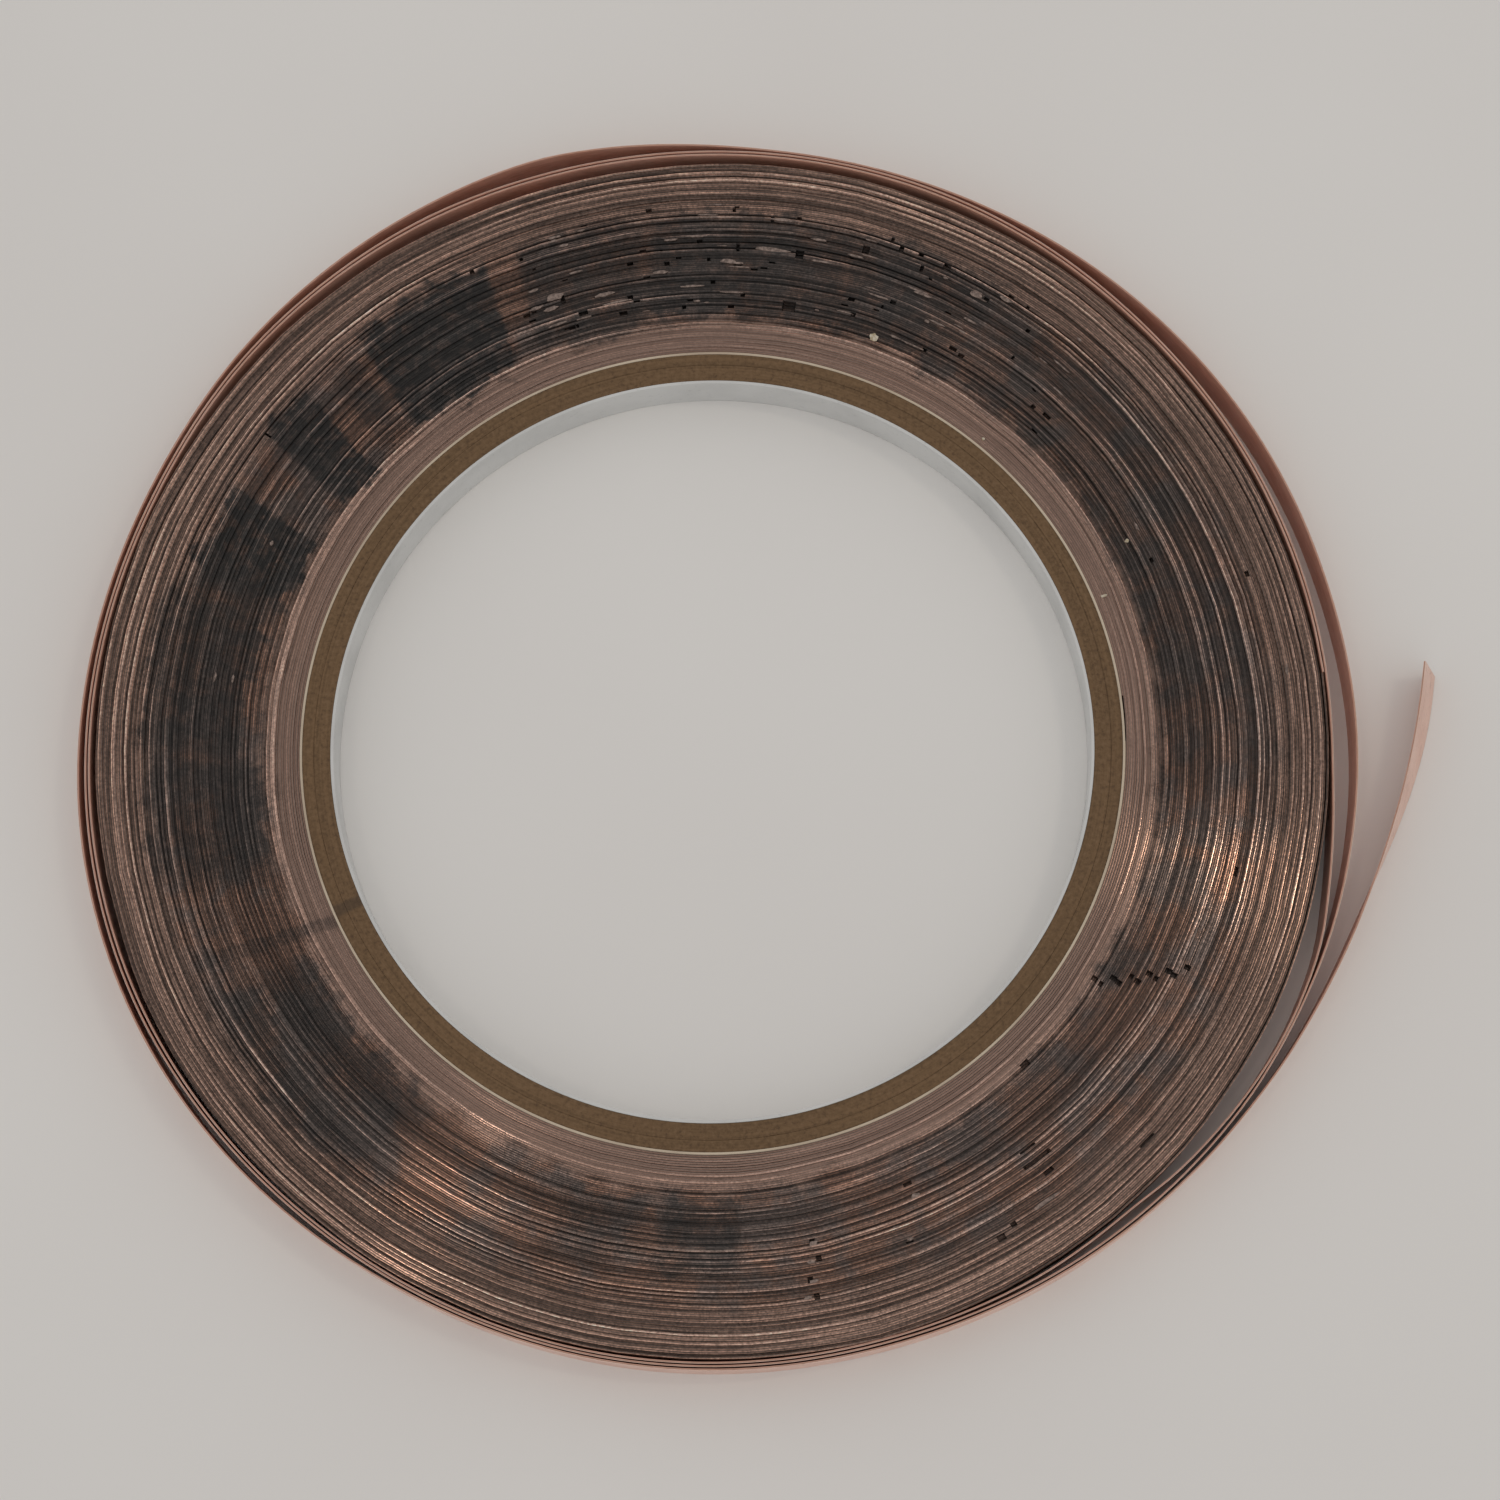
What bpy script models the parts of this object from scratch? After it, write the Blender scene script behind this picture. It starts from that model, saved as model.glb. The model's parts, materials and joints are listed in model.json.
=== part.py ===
"""Copper foil tape on a paper core, lying flat.

The roll is one long strip of three-layer tape (copper foil, adhesive, release paper) wound on a short
laminated paper tube. The roll's axis is Z and the origin is on it, half way up the tape's width. The tight
turns are one solid ring. The last three turns are loose, and each is three thin strips, one a layer. The
free end springs away from the roll, and is four hinged lengths so that it can bend.

Winding angle is measured from the free end's tip back along the tape, clockwise seen from above.
"""

import math

import bpy
from mathutils import Vector

MM = 0.001

# Tape
TAPE_WIDTH = 5.56 * MM
FOIL_THICKNESS = 0.038 * MM
ADHESIVE_THICKNESS = 0.03 * MM
PAPER_THICKNESS = 0.09 * MM
LAYER_GAP = 0.01 * MM
TAPE_THICKNESS = FOIL_THICKNESS + ADHESIVE_THICKNESS + PAPER_THICKNESS + 2 * LAYER_GAP

# Core, from the bore outwards
BORE_RADIUS = 38.1 * MM
LINER_THICKNESS = 0.3 * MM
INNER_KRAFT_THICKNESS = 1.65 * MM
OUTER_KRAFT_THICKNESS = 1.15 * MM
COVER_THICKNESS = 0.23 * MM
PLY_GAP = 0.02 * MM
KRAFT_RECESS = 0.05 * MM
LINER_RECESS = 0.02 * MM

# Tight turns
PACK_INNER_RADIUS = 41.62 * MM

# Outside radius of the tight turns against direction in degrees, counter-clockwise from +X: a little oval
PACK_OUTLINE = [
    (0, 61.8), (10, 61.8), (20, 61.86), (35, 61.95), (50, 62.15), (65, 62.38), (80, 62.5), (95, 62.43),
    (110, 62.42), (122, 62.6), (135, 62.6), (150, 62.5), (165, 62.38), (180, 62.25), (190, 62.12),
    (205, 61.92), (220, 61.62), (235, 61.42), (260, 61.4), (280, 61.42), (300, 61.6), (315, 61.72),
    (340, 61.87),
]

# The patch of bare adhesive that holds the first turn on the core
ANCHOR_RADIUS = 41.53 * MM
ANCHOR_THICKNESS = 0.08 * MM
ANCHOR_STEPS = 10

# Outside radius of the loose tape against winding angle in degrees: the free end, then turns 1, 2 and 3
TIP_DIRECTION = 6.5
LOOSE_TAPE = [
    (-12, 76.4), (0, 72.4), (10, 69.5), (18, 67.6), (24, 66.6), (30, 65.75), (36.5, 65.05), (41.5, 64.55),
    (46.5, 64.2), (51.5, 63.85), (61.5, 63.3), (71.5, 62.82), (81.5, 62.48), (92, 62.36), (106, 62.3),
    (119, 62.28), (126.5, 62.38), (136.5, 62.75), (151.5, 63.35), (166.5, 63.8), (181.5, 63.97),
    (196.5, 63.76), (206.5, 63.7), (216.5, 63.88), (226.5, 64.38), (236.5, 64.8), (251.5, 65.33),
    (260, 65.57), (266.5, 65.2), (274, 64.6), (281.5, 64.15), (290, 64.02), (303, 64.04), (316.5, 64.23),
    (331.5, 64.46), (341.5, 64.5), (351.5, 64.49), (361.5, 64.72), (367, 64.78), (376.5, 64.66),
    (386.5, 64.42), (392, 64.17), (399, 64.0), (411.5, 63.43), (421.5, 62.97), (431.5, 62.48),
    (439, 62.18), (448, 62.05), (466, 61.98), (487, 61.96), (497, 62.09), (511.5, 62.55), (521.5, 62.95),
    (534, 63.15), (546.5, 63.2), (564, 63.12), (573, 63.2), (586.5, 63.7), (597, 63.88), (609, 64.0),
    (620, 63.83), (641.5, 63.75), (656.5, 63.63), (666.5, 63.38), (681.5, 62.78), (691.5, 62.6),
    (706.5, 62.45), (721, 62.34), (727.5, 62.29), (731.5, 62.45), (739, 63.1), (745, 63.8), (749, 63.93),
    (756.5, 63.82), (761.5, 63.5), (766.5, 63.15), (771.5, 62.75), (774.5, 62.37), (777, 62.25),
    (784, 62.25), (791.5, 62.03), (799, 61.82), (808, 61.71), (830, 61.67), (852, 61.7), (861.5, 61.87),
    (871.5, 62.18), (881.5, 62.52), (893, 62.74), (906.5, 62.85), (924, 62.8), (933, 62.88),
    (946.5, 63.35), (957, 63.53), (969, 63.58), (981, 63.45), (1001.5, 63.4), (1016.5, 63.25),
    (1026.5, 63.0), (1038, 62.57), (1046.5, 62.36), (1061.5, 62.18), (1073, 62.09), (1080, 62.06),
    (1100, 61.98),
]
FULL_TURN = 360
LOOSE_TURNS = 3

# The free end leans, so that its outer face looks up: most at the tip, not at all beyond the second angle
TIP_LEAN = 19
LEAN_STARTS = 2
LEAN_ENDS = 25

# Hinge lines across the free end, by winding angle, from the roll towards the tip
TAIL_HINGES = [52, 39, 26, 13]
PEEL_HINGE = 7

# The gap at a hinge line, and what it gains where the tape leans, so that the leaned ends clear each other
HINGE_GAP = 0.1 * MM
GAP_PER_LEAN = 1.3 * MM

# Facets
RING_STEPS = 96
CORNERS = 4
TURN_STEP = 5
TAIL_STEPS = 5
PEEL_STEPS = 3
SHARP_EDGE_ANGLE = 30
MERGE_DISTANCE = 0.001 * MM

# Half the length of path, as a winding angle, that gives the tape's direction at a point
PATH_HALF_STEP = 0.5

COLLECTION_NAME = "copper_foil_tape_roll"

COPPER = ((0.62, 0.34, 0.24), 0.28, 1.0)
PACK_EDGE = ((0.25, 0.17, 0.14), 0.45, 0.8)
ADHESIVE = ((0.75, 0.68, 0.52), 0.3, 0.0)
RELEASE_PAPER = ((0.36, 0.26, 0.24), 0.35, 0.0)
WHITE_PAPER = ((0.72, 0.70, 0.67), 0.8, 0.0)
KRAFT_BOARD = ((0.16, 0.10, 0.055), 0.85, 0.0)
CREAM_PAPER = ((0.55, 0.47, 0.36), 0.75, 0.0)


def clear_scene():
    for old in list(bpy.data.objects):
        bpy.data.objects.remove(old, do_unlink=True)


def new_collection(name):
    collection = bpy.data.collections.new(name)
    bpy.context.scene.collection.children.link(collection)
    return collection


def new_material(name, look):
    colour, roughness, metallic = look
    material = bpy.data.materials.new(name)
    material.use_nodes = True
    shader = material.node_tree.nodes["Principled BSDF"]
    shader.inputs["Base Color"].default_value = (*colour, 1.0)
    shader.inputs["Roughness"].default_value = roughness
    shader.inputs["Metallic"].default_value = metallic
    return material


def add_object(name, mesh, look):
    """Put the mesh in the roll's collection as a smooth-shaded object with its own material."""
    node = bpy.data.objects.new(name, mesh)
    roll_collection.objects.link(node)
    mesh.materials.append(new_material(name, look))
    mesh.shade_smooth()
    mesh.set_sharp_from_angle(angle=math.radians(SHARP_EDGE_ANGLE))
    return node


# Turned pieces


def add_ring(name, inner_radius, outer_radius, half_height, look):
    """Turn a rectangle round the roll's axis."""
    corners = [
        (outer_radius, 0, half_height),
        (outer_radius, 0, -half_height),
        (inner_radius, 0, -half_height),
        (inner_radius, 0, half_height),
    ]
    mesh = bpy.data.meshes.new(name)
    mesh.from_pydata(corners, [(0, 1), (1, 2), (2, 3), (3, 0)], [])
    ring = add_object(name, mesh, look)
    screw = ring.modifiers.new("turn", "SCREW")
    screw.axis = "Z"
    screw.angle = math.tau
    screw.steps = RING_STEPS
    screw.render_steps = RING_STEPS
    screw.use_merge_vertices = True
    screw.merge_threshold = MERGE_DISTANCE
    return ring


def add_core():
    """Build the laminated tube: white lining, two brown boards with a ply line between, cream cover."""
    half_width = TAPE_WIDTH / 2
    plies = [
        ("core_inner_liner", LINER_THICKNESS, half_width - LINER_RECESS, WHITE_PAPER),
        ("core_kraft_inner", INNER_KRAFT_THICKNESS, half_width - KRAFT_RECESS, KRAFT_BOARD),
        ("core_kraft_outer", OUTER_KRAFT_THICKNESS, half_width - KRAFT_RECESS, KRAFT_BOARD),
        ("core_cover_ply", COVER_THICKNESS, half_width, CREAM_PAPER),
    ]
    radius = BORE_RADIUS
    for name, thickness, half_height, look in plies:
        add_ring(name, radius, radius + thickness, half_height, look)
        radius += thickness + PLY_GAP


# The tape's path


def smooth_value(table, at):
    """Read a smooth curve through the table's points (Catmull-Rom over uneven steps)."""
    index = 1
    while index < len(table) - 3 and table[index + 1][0] < at:
        index += 1
    (x0, y0), (x1, y1), (x2, y2), (x3, y3) = table[index - 1 : index + 3]
    slope_1 = (y2 - y0) / (x2 - x0)
    slope_2 = (y3 - y1) / (x3 - x1)
    span = x2 - x1
    t = (at - x1) / span
    return (
        (2 * t**3 - 3 * t**2 + 1) * y1
        + (t**3 - 2 * t**2 + t) * span * slope_1
        + (3 * t**2 - 2 * t**3) * y2
        + (t**3 - t**2) * span * slope_2
    )


def pack_radius(direction):
    """Outside radius of the tight turns in this direction."""
    before = [(at - FULL_TURN, radius) for at, radius in PACK_OUTLINE[-2:]]
    after = [(at + FULL_TURN, radius) for at, radius in PACK_OUTLINE[:2]]
    return smooth_value(before + PACK_OUTLINE + after, direction) * MM


def edge_point(winding):
    """The tape's outer face at its top edge, seen from above."""
    radius = smooth_value(LOOSE_TAPE, winding) * MM
    direction = math.radians(TIP_DIRECTION - winding)
    return Vector((radius * math.cos(direction), radius * math.sin(direction), 0))


def outward_normal(winding):
    """The level direction square to the tape's path, pointing away from the roll."""
    along = edge_point(winding - PATH_HALF_STEP) - edge_point(winding + PATH_HALF_STEP)
    return Vector((along.y, -along.x, 0)).normalized()


def lean_at(winding):
    share = (LEAN_ENDS - winding) / (LEAN_ENDS - LEAN_STARTS)
    share = min(max(share, 0), 1)
    return math.radians(TIP_LEAN) * share * share * (3 - 2 * share)


def tape_rails(winding, depth):
    """The top and bottom edge points of a surface that lies depth inside the tape's outer face."""
    lean = lean_at(winding)
    outward = outward_normal(winding)
    across = Vector((0, 0, math.cos(lean))) - outward * math.sin(lean)
    square = Vector((0, 0, math.sin(lean))) + outward * math.cos(lean)
    top = edge_point(winding) - square * depth
    bottom = top - across * TAPE_WIDTH
    bottom_at = -TAPE_WIDTH / 2 + square.z * (TAPE_THICKNESS - depth)
    shift = Vector((0, 0, bottom_at - bottom.z))
    return top + shift, bottom + shift


# Strips


def add_strip(name, rails, thickness, look):
    """Loft a ribbon between its top and bottom rails, and give it a thickness."""
    points = [point for pair in rails for point in pair]
    faces = [(2 * i, 2 * i + 1, 2 * i + 3, 2 * i + 2) for i in range(len(rails) - 1)]
    mesh = bpy.data.meshes.new(name)
    mesh.from_pydata(points, [], faces)
    strip = add_object(name, mesh, look)
    solidify = strip.modifiers.new("thickness", "SOLIDIFY")
    solidify.thickness = thickness
    solidify.offset = 0
    solidify.use_even_offset = True
    return strip


def spaced(start, stop, count):
    return [start + (stop - start) * i / count for i in range(count + 1)]


def tape_layers():
    """Each layer's name, depth of its middle inside the tape's outer face, thickness and look."""
    foil_depth = FOIL_THICKNESS / 2
    adhesive_depth = FOIL_THICKNESS + LAYER_GAP + ADHESIVE_THICKNESS / 2
    paper_depth = TAPE_THICKNESS - PAPER_THICKNESS / 2
    return [
        ("foil", foil_depth, FOIL_THICKNESS, COPPER),
        ("adhesive", adhesive_depth, ADHESIVE_THICKNESS, ADHESIVE),
        ("release_paper", paper_depth, PAPER_THICKNESS, RELEASE_PAPER),
    ]


def gap_angle(winding):
    """Half the gap at this hinge line as a winding angle."""
    gap = HINGE_GAP + GAP_PER_LEAN * math.sin(lean_at(winding))
    return math.degrees(gap / 2 / edge_point(winding).length)


def add_tape_length(prefix, start, stop, steps):
    """Build the three layers between two winding angles, leaving half a gap at each end."""
    angles = spaced(start - gap_angle(start), stop + gap_angle(stop), steps)
    for layer, depth, thickness, look in tape_layers():
        rails = [tape_rails(angle, depth) for angle in angles]
        add_strip(f"{prefix}_{layer}", rails, thickness, look)


def add_loose_turns():
    for turn in range(1, LOOSE_TURNS + 1):
        outer_end = max(FULL_TURN * (turn - 1), TAIL_HINGES[0])
        inner_end = FULL_TURN * turn
        steps = round((inner_end - outer_end) / TURN_STEP)
        add_tape_length(f"turn_{turn}", inner_end, outer_end, steps)


def add_tail():
    """Build the free end's four lengths, each with its origin on the hinge line at its roll end."""
    ends = TAIL_HINGES[1:] + [0]
    for number, (hinge, end) in enumerate(zip(TAIL_HINGES, ends), start=1):
        for layer, depth, thickness, look in tape_layers():
            if end == 0 and layer == "release_paper":
                add_tail_piece(f"tail_{number}_{layer}", hinge, PEEL_HINGE, depth, thickness, look)
                add_tail_piece("peel_tab", PEEL_HINGE, end, depth, thickness, look)
            else:
                add_tail_piece(f"tail_{number}_{layer}", hinge, end, depth, thickness, look)


def tail_angles(hinge, end):
    """The winding angles between a tail piece's facets.

    The lengths on either side of the peel line are divided alike in every layer, so that the thin gap
    between the layers stays open where the tape leans.
    """
    start = hinge - gap_angle(hinge)
    stop = end + gap_angle(end) if end else 0
    if hinge > PEEL_HINGE > end:
        return spaced(start, PEEL_HINGE, PEEL_STEPS) + spaced(PEEL_HINGE, stop, PEEL_STEPS)[1:]
    if PEEL_HINGE in (hinge, end):
        return spaced(start, stop, PEEL_STEPS)
    return spaced(start, stop, TAIL_STEPS)


def add_tail_piece(name, hinge, end, depth, thickness, look):
    """Build one layer between two winding angles and move its origin onto its hinge line."""
    origin = hinge_point(hinge)
    angles = tail_angles(hinge, end)
    rails = [tuple(point - origin for point in tape_rails(angle, depth)) for angle in angles]
    piece = add_strip(name, rails, thickness, look)
    piece.location = origin


def hinge_point(winding):
    """Where a vertical hinge line crosses the tape, half way up and in the middle of its thickness."""
    top, bottom = tape_rails(winding, TAPE_THICKNESS / 2)
    middle = (top + bottom) / 2
    return Vector((middle.x, middle.y, 0))


def add_pack():
    """Build the tight turns as one ring with a round bore and a slightly oval outside."""
    half_width = TAPE_WIDTH / 2
    points = []
    for step in range(RING_STEPS):
        direction = FULL_TURN * step / RING_STEPS
        x_share = math.cos(math.radians(direction))
        y_share = math.sin(math.radians(direction))
        outside = pack_radius(direction)
        for radius, height in [
            (outside, half_width),
            (outside, -half_width),
            (PACK_INNER_RADIUS, -half_width),
            (PACK_INNER_RADIUS, half_width),
        ]:
            points.append((radius * x_share, radius * y_share, height))
    faces = []
    for step in range(RING_STEPS):
        here = CORNERS * step
        ahead = CORNERS * ((step + 1) % RING_STEPS)
        for corner in range(CORNERS):
            after = (corner + 1) % CORNERS
            faces.append((here + corner, here + after, ahead + after, ahead + corner))
    mesh = bpy.data.meshes.new("wound_pack")
    mesh.from_pydata(points, [], faces)
    add_object("wound_pack", mesh, PACK_EDGE)


def add_start_anchor():
    """Build the adhesive patch between the core's cover and the first turn, in step with their facets."""
    facet = math.tau / RING_STEPS
    rails = []
    for i in range(ANCHOR_STEPS + 1):
        x = ANCHOR_RADIUS * math.cos(-i * facet)
        y = ANCHOR_RADIUS * math.sin(-i * facet)
        rails.append((Vector((x, y, TAPE_WIDTH / 2)), Vector((x, y, -TAPE_WIDTH / 2))))
    rails.reverse()
    add_strip("start_anchor", rails, ANCHOR_THICKNESS, ADHESIVE)


clear_scene()
roll_collection = new_collection(COLLECTION_NAME)
add_core()
add_start_anchor()
add_pack()
add_loose_turns()
add_tail()
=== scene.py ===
"""Looks for a roll of copper foil tape that lies flat on its paper core.

The tight turns are built as one long wound strip of foil with release paper between the turns, so that the
winding face is made of real tape edges. The loose turns and the free end follow the CAD strips' outer faces
as smooth three-layer tape. The core is four turned plies.

Everything is in metres in the CAD frame. Directions are degrees counter-clockwise from +X, seen from above.
"""

import json
import math

import bpy
import numpy as np
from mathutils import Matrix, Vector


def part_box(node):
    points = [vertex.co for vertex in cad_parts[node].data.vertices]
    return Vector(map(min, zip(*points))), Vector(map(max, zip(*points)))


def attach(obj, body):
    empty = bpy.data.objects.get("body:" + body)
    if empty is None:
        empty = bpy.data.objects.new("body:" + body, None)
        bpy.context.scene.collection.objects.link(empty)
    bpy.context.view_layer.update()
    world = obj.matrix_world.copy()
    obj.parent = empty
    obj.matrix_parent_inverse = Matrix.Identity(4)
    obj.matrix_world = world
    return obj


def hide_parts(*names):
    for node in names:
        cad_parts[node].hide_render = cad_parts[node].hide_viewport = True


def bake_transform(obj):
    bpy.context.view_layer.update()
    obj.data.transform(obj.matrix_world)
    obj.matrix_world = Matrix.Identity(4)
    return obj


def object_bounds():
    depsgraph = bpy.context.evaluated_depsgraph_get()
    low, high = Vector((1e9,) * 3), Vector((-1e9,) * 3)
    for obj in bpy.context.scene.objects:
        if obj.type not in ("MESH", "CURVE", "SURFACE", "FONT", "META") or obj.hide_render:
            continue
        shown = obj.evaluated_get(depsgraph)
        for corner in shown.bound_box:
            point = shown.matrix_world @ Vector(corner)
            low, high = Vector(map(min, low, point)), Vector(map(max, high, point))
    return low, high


MM = 0.001
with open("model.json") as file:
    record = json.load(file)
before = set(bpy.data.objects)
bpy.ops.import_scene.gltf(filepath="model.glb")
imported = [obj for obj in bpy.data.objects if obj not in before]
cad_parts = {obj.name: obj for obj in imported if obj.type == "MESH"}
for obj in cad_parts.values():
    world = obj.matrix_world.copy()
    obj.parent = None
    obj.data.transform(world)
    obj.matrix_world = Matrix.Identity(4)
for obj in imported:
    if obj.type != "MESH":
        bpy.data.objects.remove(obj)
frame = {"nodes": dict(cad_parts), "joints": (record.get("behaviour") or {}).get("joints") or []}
cad_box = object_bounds()

# Tape layers, as thick as the CAD's
FOIL_THICKNESS = 0.038 * MM
ADHESIVE_THICKNESS = 0.03 * MM
PAPER_THICKNESS = 0.09 * MM
LAYER_GAP = 0.01 * MM
TAPE_THICKNESS = FOIL_THICKNESS + ADHESIVE_THICKNESS + PAPER_THICKNESS + 2 * LAYER_GAP

# Tight turns
PACK_TURNS = 93
PACK_START = -0.08 * MM
PACK_STEPS_PER_TURN = 120
PACK_FOIL_WIDTH = 0.07 * MM
PACK_PAPER_WIDTH = 0.115 * MM
STEPPED_TURNS = 8
STEP_SHARE = 0.04
FOIL_EDGE_SLOPE = 12
MEAN_EDGE_DROP = 0.13 * MM
PAPER_EDGE_DROP = 0.04 * MM
FACE_RUNS = 420
CALM_TURNS = 14
BACK_RUNS = 160

# The winding face has regular faint lines this far apart, wider than one turn
LINE_SPACING = 0.71 * MM

# Nicks in the winding face: direction, radius in mm, width and height in mm
NICKS = [
    (80.4, 47.2, 1.1, 0.9), (80.2, 53.0, 0.7, 0.7), (87.2, 53.1, 0.3, 0.7), (80.9, 56.9, 0.4, 0.4),
    (83.7, 56.5, 0.3, 0.6), (73.2, 55.0, 0.6, 0.7), (70.8, 57.0, 0.3, 0.4), (69.6, 56.4, 0.4, 0.5),
    (66.8, 55.0, 0.3, 0.6), (64.6, 56.5, 0.3, 0.4), (59.0, 55.0, 0.5, 0.5), (56.9, 56.7, 0.5, 0.3),
    (54.8, 56.5, 0.3, 0.4), (68.3, 50.5, 0.5, 0.3), (62.3, 47.1, 0.4, 0.4), (90.0, 49.3, 0.4, 0.5),
    (90.5, 51.8, 0.3, 0.4), (87.1, 51.2, 0.7, 0.5), (72.3, 47.9, 0.4, 0.3), (86.3, 48.0, 0.4, 0.3),
    (23.0, 48.6, 0.4, 0.3), (17.8, 57.1, 0.5, 0.4), (111.9, 49.8, 0.4, 0.4), (108.2, 50.1, 0.4, 0.8),
    (106.3, 47.8, 0.8, 0.3), (100.2, 48.4, 0.5, 0.4), (103.0, 49.4, 0.4, 0.3), (96.7, 57.6, 0.5, 0.4),
    (116.4, 56.4, 0.4, 0.4), (144.4, 56.3, 0.2, 0.8), (-52.8, 52.9, 2.6, 0.35), (-52.6, 54.4, 0.9, 0.3),
    (-52.9, 51.4, 1.5, 0.25), (-43.3, 58.6, 1.6, 0.2), (-60.3, 57.2, 0.7, 0.5), (-58.6, 56.6, 0.5, 0.4),
    (-14.4, 53.9, 0.8, 0.3), (-46.6, 45.0, 0.8, 0.5), (-68.8, 53.7, 0.6, 0.3), (-66.6, 48.4, 0.7, 0.3),
]
NICK_ROW = ((-26.5, 52.4), (-32.9, 45.0), 11)
NICK_COLUMN = ((-79.8, 56.3), (-78.4, 51.0), 4)
NICK_DEPTH = 0.7 * MM

# The worn part of the winding face, where there are many more small nicks and flakes
WORN_DIRECTIONS = (44, 113)
WORN_RADII = (46.5, 57.8)
WORN_NICKS = 46
WORN_FLAKES = 40

# Flakes, where an edge was bent over: direction, radius in mm, length and height in mm
FLAKES = [
    (109.0, 50.4, 2.2, 0.8), (109.9, 49.3, 1.6, 0.5), (103.2, 49.2, 2.2, 0.5), (101.8, 48.1, 3.0, 0.3),
    (96.2, 50.6, 1.6, 0.4), (82.6, 56.5, 2.6, 0.35), (83.4, 53.1, 3.8, 0.45), (60.2, 54.9, 1.5, 0.8),
    (88.3, 51.5, 1.8, 0.5), (66.2, 52.6, 2.4, 0.25), (62.6, 50.2, 2.0, 0.2), (70.1, 50.5, 2.8, 0.25),
    (64.0, 46.9, 2.6, 0.2), (87.6, 48.1, 3.0, 0.2), (92.4, 48.8, 2.8, 0.2), (73.4, 47.8, 1.8, 0.2),
    (78.4, 54.9, 1.8, 0.3), (57.2, 56.0, 1.4, 0.5), (27.5, 48.7, 1.0, 0.3), (-54.6, 56.5, 3.6, 0.4),
    (-80.3, 56.2, 0.8, 0.4), (-79.4, 54.7, 0.9, 0.4), (-79.4, 52.8, 0.9, 0.5), (-78.7, 51.1, 0.9, 0.5),
    (-69.6, 51.9, 1.0, 0.4), (-68.6, 53.4, 0.8, 0.3), (-66.3, 49.7, 0.9, 0.5), (154.8, 49.7, 0.5, 0.4),
    (172.0, 50.8, 1.1, 0.25), (171.9, 49.0, 0.9, 0.25), (7.2, 58.4, 1.4, 0.35), (-22.4, 51.8, 1.8, 0.25),
]

# Specks that lie on the winding face: direction, radius in mm, length and height in mm
SPECKS = [(26.4, 47.1, 0.4, 0.5), (20.9, 42.5, 0.3, 0.7), (49.0, 42.3, 0.35, 0.35), (68.9, 46.1, 1.0, 0.9)]

# The adhesive film under the first turn
ANCHOR_GAP = 0.005 * MM
ANCHOR_FILM = 0.03 * MM

TURN_NAMES = ["turn_1", "turn_2", "turn_3"]
TAIL_NAMES = ["tail_1", "tail_2", "tail_3", "tail_4"]
STRIP_STEP = 1.5

# Smaller than half the gap between two turns' ends, in degrees of winding
WINDING_SLACK = 0.03

# Camera, at the distance and tilt from which the roll was seen
CAMERA_PLACE = (9.98 * MM, -85.8 * MM, 354.1 * MM)
CAMERA_TILT = (13.6, 1.0, 0.0)
CAMERA_LENS = 86.4
CAMERA_SENSOR = 36.0
NEAREST_SEEN = 0.01

# Meshes
SHARP_EDGE_ANGLE = 35
CORE_STEPS = 360
CORE_RIM = 0.05 * MM
CORE_END_STEP = 0.12 * MM
CORE_END_UNEVEN = 0.035 * MM
ANCHOR_STEPS = 60
FLAKE_CORNERS = 12
PATH_HALF_STEP = 0.25

half_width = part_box("wound_pack")[1].z


# Reading the CAD


def node_points(name):
    """The node's distinct vertices, one row each."""
    mesh = frame["nodes"][name].data
    points = np.empty(len(mesh.vertices) * 3)
    mesh.vertices.foreach_get("co", points)
    return np.unique(np.round(points.reshape(-1, 3), 7), axis=0)


def ring_radii(name):
    points = node_points(name)
    radii = np.hypot(points[:, 0], points[:, 1])
    return radii.min(), radii.max()


def pack_outline(turned):
    """The outside radius of the tight turns in each direction, from the CAD ring."""
    points = node_points("wound_pack")
    radii = np.hypot(points[:, 0], points[:, 1])
    outside = points[(radii > radii.mean()) & (points[:, 2] > 0)]
    radii = np.hypot(outside[:, 0], outside[:, 1])
    return np.interp(np.degrees(turned) % 360, directions_of(outside) % 360, radii, period=360)


def directions_of(points):
    return np.degrees(np.arctan2(points[:, 1], points[:, 0]))


def outer_edge(name, side, tip_direction):
    """The outer face's top (side 1) or bottom (side -1) edge, in winding order, with each point's winding."""
    points = node_points(name)
    points = points[points[:, 2] * side > 0]
    winding = (tip_direction - directions_of(points) + WINDING_SLACK) % 360 - WINDING_SLACK
    order = np.argsort(winding)
    groups = np.split(order, np.where(np.diff(winding[order]) > 0.5)[0] + 1)
    radii = np.hypot(points[:, 0], points[:, 1])
    outermost = [group[np.argmax(radii[group])] for group in groups]
    return winding[outermost], points[outermost]


def loose_tape_rails():
    """Winding angles with the top and bottom points of the loose tape's outer face, from the tip inwards."""
    windings, tops, bottoms = [], [], []
    lengths = [(name, 0) for name in reversed(TAIL_NAMES)]
    lengths += [(name, 360 * turn) for turn, name in enumerate(TURN_NAMES)]
    for name, turned in lengths:
        winding, top = outer_edge(name + "_foil", 1, tip_direction)
        bottom = outer_edge(name + "_foil", -1, tip_direction)[1]
        windings.append(winding + turned)
        tops.append(top)
        bottoms.append(bottom)
    winding = np.concatenate(windings)
    rails = np.hstack([np.concatenate(tops), np.concatenate(bottoms)])
    kept = [0]
    for i in range(1, len(winding)):
        if winding[i] - winding[kept[-1]] < 1:
            rails[kept[-1]] = (rails[kept[-1]] + rails[i]) / 2
            winding[kept[-1]] = (winding[kept[-1]] + winding[i]) / 2
        else:
            kept.append(i)
    return winding[kept], rails[kept]


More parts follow.
